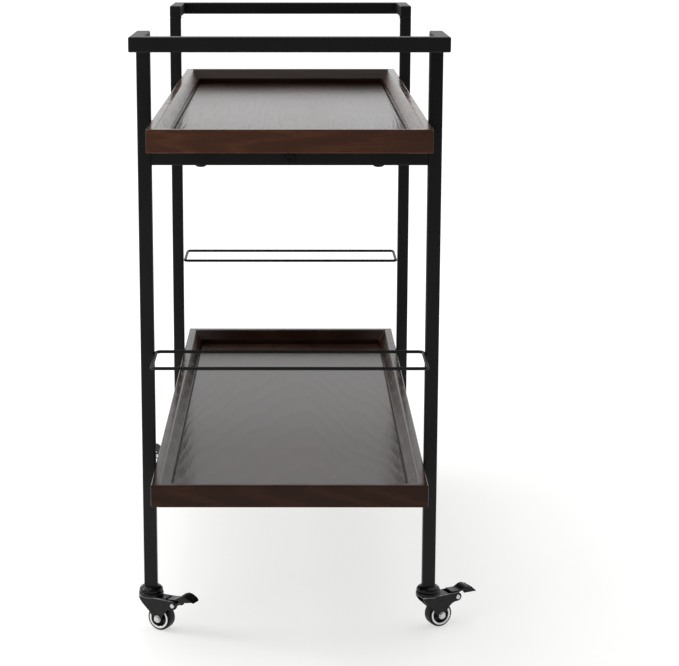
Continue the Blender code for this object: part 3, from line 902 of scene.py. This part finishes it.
def forkOutline():
    boss = arcPoints(caster["trail"], caster["wheelRadius"], caster["bossRadius"], 200, 350, 12)
    ear = arcPoints(caster["pivotX"], caster["pivotZ"], caster["earRadius"], -70, 100, 12)
    front = [(-0.0150, caster["forkTop"]), (-0.0140, 0.0480), (-0.0120, 0.0440), (-0.0085, 0.0395)]
    front += [(-0.0030, 0.0345), (0.0030, 0.0290), (0.0080, 0.0220)]
    rear = [(0.0255, 0.0235), (0.0275, 0.0275), (0.0305, 0.0315), (0.0345, 0.0350), (0.0395, 0.0370)]
    return front + boss + rear + ear + [(0.0380, caster["forkTop"]), (0.0330, caster["forkTop"])]


def makeFork():
    outer = caster["forkInner"] + caster["plate"]
    fork = addPlate("fork", forkOutline(), outer)
    with editing(fork):
        pick("edges", running(0, lambda middle: middle.z > caster["forkTop"] - 0.0001))
        bpy.ops.mesh.bevel(offset=caster["bend"], segments=4, affect="EDGES")
    roundEdges(fork, 0.0005, 2, 40)
    webBottom = caster["forkTop"] - caster["plate"]
    outline = [(-0.05, -0.01), (0.08, -0.01), (0.08, 0.06), (caster["webEnd"], 0.06)]
    outline += [(caster["webEnd"], webBottom), (-0.05, webBottom)]
    combine(fork, addPlate("channel", outline, caster["forkInner"]), "DIFFERENCE")
    for side in (-1, 1):
        inside = (caster["trail"], side * (outer - 0.001), caster["wheelRadius"])
        outside = (caster["trail"], side * (outer + 0.0002), caster["wheelRadius"])
        combine(fork, addRod("dimple", inside, outside, caster["dimple"], 40), "UNION")
    radius = caster["swivelRadius"]
    profile = [
        (radius - 0.0040, 0.0493),
        (radius - 0.0022, 0.0499),
        (radius - 0.0008, 0.0512),
        (radius, 0.0530),
        (radius, 0.0546),
        (radius - 0.0005, 0.0560),
        (radius - 0.0015, 0.0569),
        (radius - 0.0030, 0.0571),
        (radius - 0.0050, 0.0566),
        (0.0060, 0.0566),
    ]
    combine(fork, addTurned("swivel_disc", profile, 48), "UNION")
    paintHighlightOnFolds(fork, outer)
    return smoothShade(fork, 40)


# a painted highlight along the folds of the fork: the points on the folds are marked, and the finish turns
# them pale grey there
def paintHighlightOnFolds(fork, outer):
    rubbed = fork.data.attributes.new("rubbed", "FLOAT", "POINT")
    low, high = caster["forkTop"] - 0.8 * caster["bend"], caster["forkTop"] - 0.15 * caster["bend"]
    inward = outer - 0.8 * caster["bend"]
    for vertex in fork.data.vertices:
        onFold = low < vertex.co.z < high and abs(vertex.co.y) > inward and vertex.co.x < caster["pivotX"]
        rubbed.data[vertex.index].value = 1.0 if onFold else 0.0


def makeStem():
    radius, top = caster["cupRadius"], caster["height"]
    profile = [
        (0.0045, 0.0448),
        (0.0052, 0.0470),
        (0.0052, 0.0482),
        (0.0030, 0.0484),
        (0.0030, 0.0572),
        (radius - 0.0060, 0.0574),
        (radius - 0.0012, 0.0574),
        (radius, 0.0580),
        (radius, 0.0600),
        (radius - 0.0006, 0.0616),
        (radius - 0.0020, 0.0633),
        (radius - 0.0036, 0.0640),
        (radius - 0.0044, 0.0646),
        (radius - 0.0050, 0.0652),
        (0.0080, top),
        (0.0080, top + 0.0200),
    ]
    return smoothShade(addTurned("stem", profile, 48), 40)


def makeBalls():
    balls = []
    race, small = caster["raceRadius"], caster["ballRadius"]
    for turn in range(caster["balls"]):
        angle = math.tau * turn / caster["balls"]
        clearSelection()
        place = (race * math.cos(angle), race * math.sin(angle), caster["raceHeight"])
        bpy.ops.mesh.primitive_uv_sphere_add(segments=16, ring_count=8, radius=small, location=place)
        balls.append(justMade("ball"))
    ballRace = joinAll("ball_race", balls)
    activate(ballRace)
    bpy.ops.object.shade_smooth()
    return ballRace


# lay a piece turned about Z along the caster's Y, centred on the axle or the pivot
def alongY(x, z):
    return Matrix.Translation((x, 0, z)) @ Matrix.Rotation(math.radians(-90), 4, "X")


def laid(item, x, z):
    item.matrix_world = alongY(x, z)
    return settle(item)


def makeTread():
    radius, half = caster["wheelRadius"], caster["treadHalf"]
    bore, shoulder = wheel["bore"], wheel["shoulder"]
    outer = [(bore, -half), (radius - shoulder, -half)]
    for step in range(1, 7):
        angle = math.radians(-90 + 15 * step)
        across = radius - shoulder + (shoulder - 0.0002) * math.cos(angle)
        outer.append((across, shoulder * (1 + math.sin(angle)) - half))
    outer += [(radius - 0.00005, -0.0028), (radius, -0.0004), (radius, 0.0004), (radius - 0.00005, 0.0028)]
    outer += [(across, -height) for across, height in outer[7:1:-1]]
    outer += [(radius - shoulder, half), (bore, half)]
    tread = addTurned("tread", outer, 64)
    combine(tread, addRod("bore", (0, 0, -0.02), (0, 0, 0.02), bore, 64), "DIFFERENCE")
    return laid(smoothShade(tread, 40), caster["trail"], caster["wheelRadius"])


def makeCore():
    half = caster["treadHalf"] - wheel["inset"]
    hub = wheel["hub"]
    profile = [(hub, -0.0097), (hub, -0.0040), (0.0124, -0.0034), (0.0126, -half + 0.0004), (0.0153, -half)]
    profile += [(across, -height) for across, height in profile[::-1]]
    core = addTurned("core", profile, 64)
    for turn in range(wheel["spokes"]):
        angle = math.tau * turn / wheel["spokes"]
        inner = (wheel["spokeStart"] * math.cos(angle), wheel["spokeStart"] * math.sin(angle))
        outer = (wheel["spokeEnd"] * math.cos(angle), wheel["spokeEnd"] * math.sin(angle))
        for level in (-wheel["spokeSide"], wheel["spokeSide"]):
            spoke = addRod("spoke", (*inner, level), (*outer, level), wheel["spoke"], 12)
            combine(core, spoke, "UNION")
    combine(core, addRod("bore", (0, 0, -0.02), (0, 0, 0.02), wheel["axleBore"], 32), "DIFFERENCE")
    return laid(smoothShade(core, 40), caster["trail"], caster["wheelRadius"])


def makeRings():
    rings = []
    for side in (-1, 1):
        centre = (0, 0, side * (caster["treadHalf"] - wheel["inset"]))
        clearSelection()
        bpy.ops.mesh.primitive_torus_add(
            major_segments=64,
            minor_segments=12,
            major_radius=wheel["ringRadius"],
            minor_radius=wheel["ringWire"],
            location=centre,
        )
        ring = justMade("ring")
        with editing(ring):
            bpy.ops.mesh.select_all(action="SELECT")
            bpy.ops.transform.resize(value=(1, 1, wheel["ringFlatness"]), center_override=centre)
        rings.append(ring)
    item = joinAll("rings", rings)
    activate(item)
    bpy.ops.object.shade_smooth()
    return laid(item, caster["trail"], caster["wheelRadius"])


# a hex head and washer at one side, a nut and washer with the bolt's tip at the other
def makeAxle():
    outside = caster["forkInner"] + caster["plate"] + 0.0002
    headFoot, headTop = outside + axleBolt["washerTall"], outside + axleBolt["headTop"]
    parts = [addRod("shank", (0, 0, -outside - 0.002), (0, 0, outside + 0.002), axleBolt["shank"], 24)]
    for side in (-1, 1):
        foot = (0, 0, side * headFoot)
        washer = addRod("washer", (0, 0, side * outside), foot, axleBolt["washer"], 40)
        roundEdges(washer, 0.0002, 2)
        head = addRod("head", foot, (0, 0, side * headTop), axleBolt["head"], 6)
        roundEdges(head, 0.0003, 2)
        parts += [washer, head]
        if side > 0:
            parts.append(addRod("tip", (0, 0, headTop), (0, 0, headTop + 0.0003), 0.0026, 24))
    axle = joinAll("axle", parts)
    return laid(smoothShade(axle, 40), caster["trail"], caster["wheelRadius"])


def makePin():
    outside = caster["forkInner"] + caster["plate"] + 0.0001
    shank, head = rivet["shank"], rivet["head"]
    profile = [(shank, -outside - 0.0021), (rivet["headSoft"], -outside - 0.0019), (head, -outside - 0.0010)]
    profile += [(head, -outside), (shank, -outside)]
    profile += [(across, -height) for across, height in profile[::-1]]
    return laid(smoothShade(addTurned("pin", profile, 32), 40), caster["pivotX"], caster["pivotZ"])


# along the pedal: place in X and Z of its upper face, and half its width there
pedal = {
    "line": [
        (0.0355, 0.0530, 0.0090),
        (0.0415, 0.0526, 0.0093),
        (0.0470, 0.0525, 0.0093),
        (0.0498, 0.0531, 0.0096),
        (0.0530, 0.0546, 0.0101),
        (0.0562, 0.0562, 0.0104),
        (0.0592, 0.0571, 0.0106),
        (0.0622, 0.0572, 0.0107),
        (0.0660, 0.0562, 0.0107),
        (0.0705, 0.0535, 0.0104),
        (0.0748, 0.0502, 0.0098),
        (0.0776, 0.0479, 0.0082),
        (0.0788, 0.0468, 0.0064),
    ],
    "sheet": 0.0017,
    "skirt": 0.0030,
    "skirtStart": 0.0560,
    "skirtLow": 0.0476,
    "ear": 0.0085,
    "ribs": [(0.0600, 0.0573, 0), (0.0660, 0.0563, 25), (0.0720, 0.0525, 37)],
    "rib": (0.0009, 0.0068, 0.0006),
    "barrel": 0.0042,
    "barrelHalf": 0.0074,
    "shoeReach": 0.0166,
    "shoeHalf": 0.0055,
    "free": 10.0,  # degrees that a pedal stands above its braked place
    "braked": ["near_right"],
}


# a strip drawn out and flared from the heel, its sides folded down and carried on to two ears
def pedalSheet():
    line = pedal["line"]
    x, z, half = line[0]
    clearSelection()
    bpy.ops.mesh.primitive_plane_add(size=2 * half, location=(x - half, 0, z))
    sheet = justMade("pedal_sheet")
    with editing(sheet):
        bpy.ops.mesh.select_all(action="SELECT")
        bpy.ops.transform.resize(value=(0.04, 1, 1), center_override=(x, 0, z))
        pick("edges", running(1, lambda middle: middle.x > x - 0.0001))
        for nextX, nextZ, nextHalf in line[1:]:
            move = (nextX - x, 0, nextZ - z)
            bpy.ops.mesh.extrude_region_move(TRANSFORM_OT_translate={"value": move})
            bpy.ops.transform.resize(value=(1, nextHalf / half, 1), center_override=(nextX, 0, nextZ))
            x, z, half = nextX, nextZ, nextHalf
        pick("edges", lambda edge: edge.is_boundary and abs(sideways(edge)) < 0.7)
        bpy.ops.mesh.extrude_region_move(TRANSFORM_OT_translate={"value": (0, 0, -pedal["skirt"])})
        pick("edges", lambda edge: isSkirt(edge) and middleOf(edge).x > pedal["skirtStart"])
        bpy.ops.transform.resize(value=(1, 1, 0), center_override=(0, 0, pedal["skirtLow"]))
        nearPin = lambda edge: abs(middleOf(edge).x - caster["pivotX"]) < 0.0035
        pick("edges", lambda edge: edge.is_boundary and lowDown(edge) and nearPin(edge))
        drop = pedal["ear"] - pedal["skirt"]
        bpy.ops.mesh.extrude_region_move(TRANSFORM_OT_translate={"value": (0, 0, -drop)})
        bpy.ops.mesh.select_all(action="SELECT")
        bpy.ops.mesh.remove_doubles(threshold=0.00005)
        bpy.ops.mesh.normals_make_consistent(inside=False)
    if max(sheet.data.polygons, key=lambda face: face.area * abs(face.normal.z)).normal.z < 0:
        with editing(sheet):
            bpy.ops.mesh.select_all(action="SELECT")
            bpy.ops.mesh.flip_normals()
    applyModifier(sheet, "SOLIDIFY", thickness=pedal["sheet"], offset=-1.0, use_even_offset=True)
    return roundEdges(sheet, 0.0005, 2, 40)


def middleOf(edge):
    return (edge.verts[0].co + edge.verts[1].co) / 2


def sideways(edge):
    return (edge.verts[1].co - edge.verts[0].co).normalized().y


def lowDown(edge):
    return max(vertex.co.z for vertex in edge.verts) < 0.0510 and abs(sideways(edge)) < 0.5


# the open edges below the fold, and not the heel's or the tip's
def isSkirt(edge):
    middle = middleOf(edge)
    tops = [z for x, z, half in pedal["line"] if abs(x - edge.verts[0].co.x) < 0.0001]
    return edge.is_boundary and abs(sideways(edge)) < 0.7 and bool(tops) and middle.z < max(tops) - 0.0012


def makePedal():
    x, z = caster["pivotX"], caster["pivotZ"]
    parts = [pedalSheet()]
    for ribX, ribZ, slope in pedal["ribs"]:
        rib = addBox("rib", -Vector(pedal["rib"]), pedal["rib"])
        roundEdges(rib, 0.0004, 2)
        rib.matrix_world = Matrix.Translation((ribX, 0, ribZ)) @ Matrix.Rotation(math.radians(slope), 4, "Y")
        parts.append(settle(rib))
    half = pedal["barrelHalf"]
    parts.append(addRod("barrel", (x, -half, z), (x, half, z), pedal["barrel"], 32))
    shoe = [(x - 0.001, z + 0.003)]
    shoe += arcPoints(x, z, pedal["shoeReach"], 198, 224, 6)
    shoe.append((x + 0.001, z - 0.003))
    block = addPlate("shoe", shoe, pedal["shoeHalf"])
    roundEdges(block, 0.0004, 2)
    parts.append(block)
    return smoothShade(joinAll("pedal", parts), 40)


# each master piece: its body, its slot, its finish and the CAD nodes it stands for
def makeCasters():
    masters = {
        "stem": (makeStem(), rootBody, "caster_black", finishes["caster"], "caster_stem"),
        "fork": (makeFork(), "swivel", "caster_black", finishes["caster"], "caster_fork"),
        "balls": (makeBalls(), "swivel", "zinc", finishes["zinc"], None),
        "axle": (makeAxle(), "swivel", "zinc", finishes["zinc"], "caster_axle"),
        "pin": (makePin(), "swivel", "zinc", finishes["zinc"], "pedal_pin"),
        "tread": (makeTread(), "wheel", "wheel_tread", finishes["tread"], "wheel_tread"),
        "core": (makeCore(), "wheel", "wheel_core", finishes["hub"], "wheel_core"),
        "rings": (makeRings(), "wheel", "wheel_core", finishes["ring"], None),
        "pedal": (makePedal(), "pedal", "caster_black", finishes["caster"], "brake_pedal"),
    }
    joints = {joint["name"]: joint for joint in frame["joints"]}
    pin = Matrix.Translation((caster["pivotX"], 0, caster["pivotZ"]))
    for end in ends:
        for side in sides:
            corner = f"{end}_{side}"
            stem = Vector(joints[f"swivel_turn_{corner}"]["pos_m"])
            axle = Vector(joints[f"wheel_roll_{corner}"]["pos_m"])
            turn = math.atan2(axle.y - stem.y, axle.x - stem.x)
            place = Matrix.Translation((stem.x, stem.y, 0)) @ Matrix.Rotation(turn, 4, "Z")
            lift = 0 if corner in pedal["braked"] else math.radians(pedal["free"])
            lifted = pin @ Matrix.Rotation(-lift, 4, "Y") @ pin.inverted()
            for title, (master, body, slotName, look, node) in masters.items():
                spot = place @ lifted if title == "pedal" else place
                piece = copyOf(master, f"caster_{title}_{corner}_piece", spot)
                bodyName = body if body == rootBody else f"{body}_{corner}"
                install(piece, bodyName, slotName, look, *([f"{node}_{corner}"] if node else []))
    for master, *_ in masters.values():
        bpy.data.objects.remove(master, do_unlink=True)


studio = {
    "lensMillimetres": 100.94,
    "cameraPlace": (0.0048, -3.0591, 1.0402),
    "cameraDown": 11.4514,
    "cameraTurn": 0.1030,
    "shiftX": 0.07335,
    "shiftY": -0.0486,
    "frontLight": 0.10,
    "backLight": 1.10,
    "higherUp": 0.78,
    "overhead": 0.52,
    # each lamp: where it hangs, where it points, how wide it is and its watts
    "lamps": {
        "overhead_lamp": ((-0.2, 0.3, 3.3), (0, 0, 0.3), 2.5, 14),
        "left_lamp": ((-2.9, 0.3, 2.2), (0, -0.2, 0.1), 1.2, 40),
        "sparkle_lamp": ((-0.3, 0.9, 3.1), (0, 0, 0.5), 0.45, 9),
        "fill_lamp": ((-1.2, -1.5, 1.0), (-0.1, -0.5, 0.7), 0.8, 4.6),
    },
}


def makeCamera():
    clearSelection()
    bpy.ops.object.camera_add(location=studio["cameraPlace"])
    camera = bpy.context.object
    camera.name = "studio_camera"
    camera.rotation_euler = (math.radians(90 - studio["cameraDown"]), 0, math.radians(studio["cameraTurn"]))
    camera.data.lens = studio["lensMillimetres"]
    camera.data.sensor_width = 36.0
    camera.data.shift_x = studio["shiftX"]
    camera.data.shift_y = studio["shiftY"]
    camera.data.clip_end = 200
    bpy.context.scene.camera = camera


# a pale floor that glows as painted light: for the camera it glows less near the cart, painted shade, and
# whitens away from it; for all other light it glows near the cart, painted bounce light on the cart
def makeFloor():
    clearSelection()
    bpy.ops.mesh.primitive_circle_add(vertices=96, radius=60, fill_type="NGON")
    floor = justMade("studio_floor")
    finish = Finish("paleFloor", Roughness=0.8, Specular_IOR_Level=0.0, Emission_Strength=1.0)
    place = finish.coordinates()
    distance = finish.node("ShaderNodeVectorMath", {"operation": "LENGTH"}, {0: place}, output="Value")
    away = finish.remap(distance, 0.5, 1.9, 0.0, 1.0)
    finish.set("Base Color", finish.ramp(away, [(0.0, (0.50, 0.50, 0.495)), (1.0, (0.40, 0.40, 0.40))]))
    seen = finish.node("ShaderNodeLightPath", output="Is Camera Ray")
    # painted light and shade: the glow the camera sees, 0.59 near the cart and 0.86 away from it
    lift = finish.ramp(away, [(0.0, (0.59, 0.59, 0.58)), (1.0, (0.86, 0.86, 0.86))])
    faraway = finish.remap(distance, 0.7, 2.6, 0.0, 1.0)
    # painted bounce light: near the cart the floor glows for all but camera rays and lights the cart from
    # below
    paintedBounce = finish.ramp(faraway, [(0.0, (0.5, 0.5, 0.5)), (1.0, (0.0, 0.0, 0.0))])
    finish.set("Emission Color", finish.mixColour(seen, paintedBounce, lift))
    floor.data.materials.append(finish.material)


# white all round for the camera; the light itself comes mostly from behind and above
def makeWorld():
    world = bpy.data.worlds.new("studio_world")
    bpy.context.scene.world = world
    world.use_nodes = True
    sky = NodeTree(world.node_tree)
    sky.tree.nodes.remove(sky.tree.nodes["Background"])
    _, y, z = sky.split(sky.node("ShaderNodeTexCoord", output="Generated"))
    fromBack = sky.remap(y, -0.55, 0.45, studio["frontLight"], studio["backLight"])
    fading = sky.remap(z, 0.05, 0.32, 1.0, studio["higherUp"])
    overhead = sky.remap(z, 0.45, 0.95, 0.0, studio["overhead"])
    white = (1.0, 1.0, 1.0)
    strength = fromBack * fading + overhead
    lighting = sky.node("ShaderNodeBackground", {}, {"Color": white, "Strength": strength})
    seen = sky.node("ShaderNodeBackground", {}, {"Color": white})
    cameraRay = sky.node("ShaderNodeLightPath", output="Is Camera Ray")
    both = sky.node("ShaderNodeMixShader", {}, {"Fac": cameraRay, 1: lighting, 2: seen})
    sky.feed(sky.tree.nodes["World Output"].inputs["Surface"], both)


def makeLamp(name, place, target, size, power):
    clearSelection()
    bpy.ops.object.light_add(type="AREA", location=place)
    lamp = bpy.context.object
    lamp.name = name
    lamp.data.size = size
    lamp.data.energy = power
    lamp.rotation_euler = (Vector(target) - Vector(place)).to_track_quat("-Z", "Y").to_euler()


def makeStudio():
    makeCamera()
    makeFloor()
    makeWorld()
    for name, settings in studio["lamps"].items():
        makeLamp(name, *settings)
    bpy.context.scene.view_settings.view_transform = "Standard"


makeStudio()
print("studio ready")
makeLegs()
for endName, endSign in ends.items():
    makeHandle(endName, endSign)
makeRails()
makeWelds()
for endName in ends:
    makeWireRail(endName)
print("frame made")
makeTray("upper")
makeTray("lower")
makeCleats()
print("trays made")
makeBolts()
makeCasters()
print("bolts and casters made")
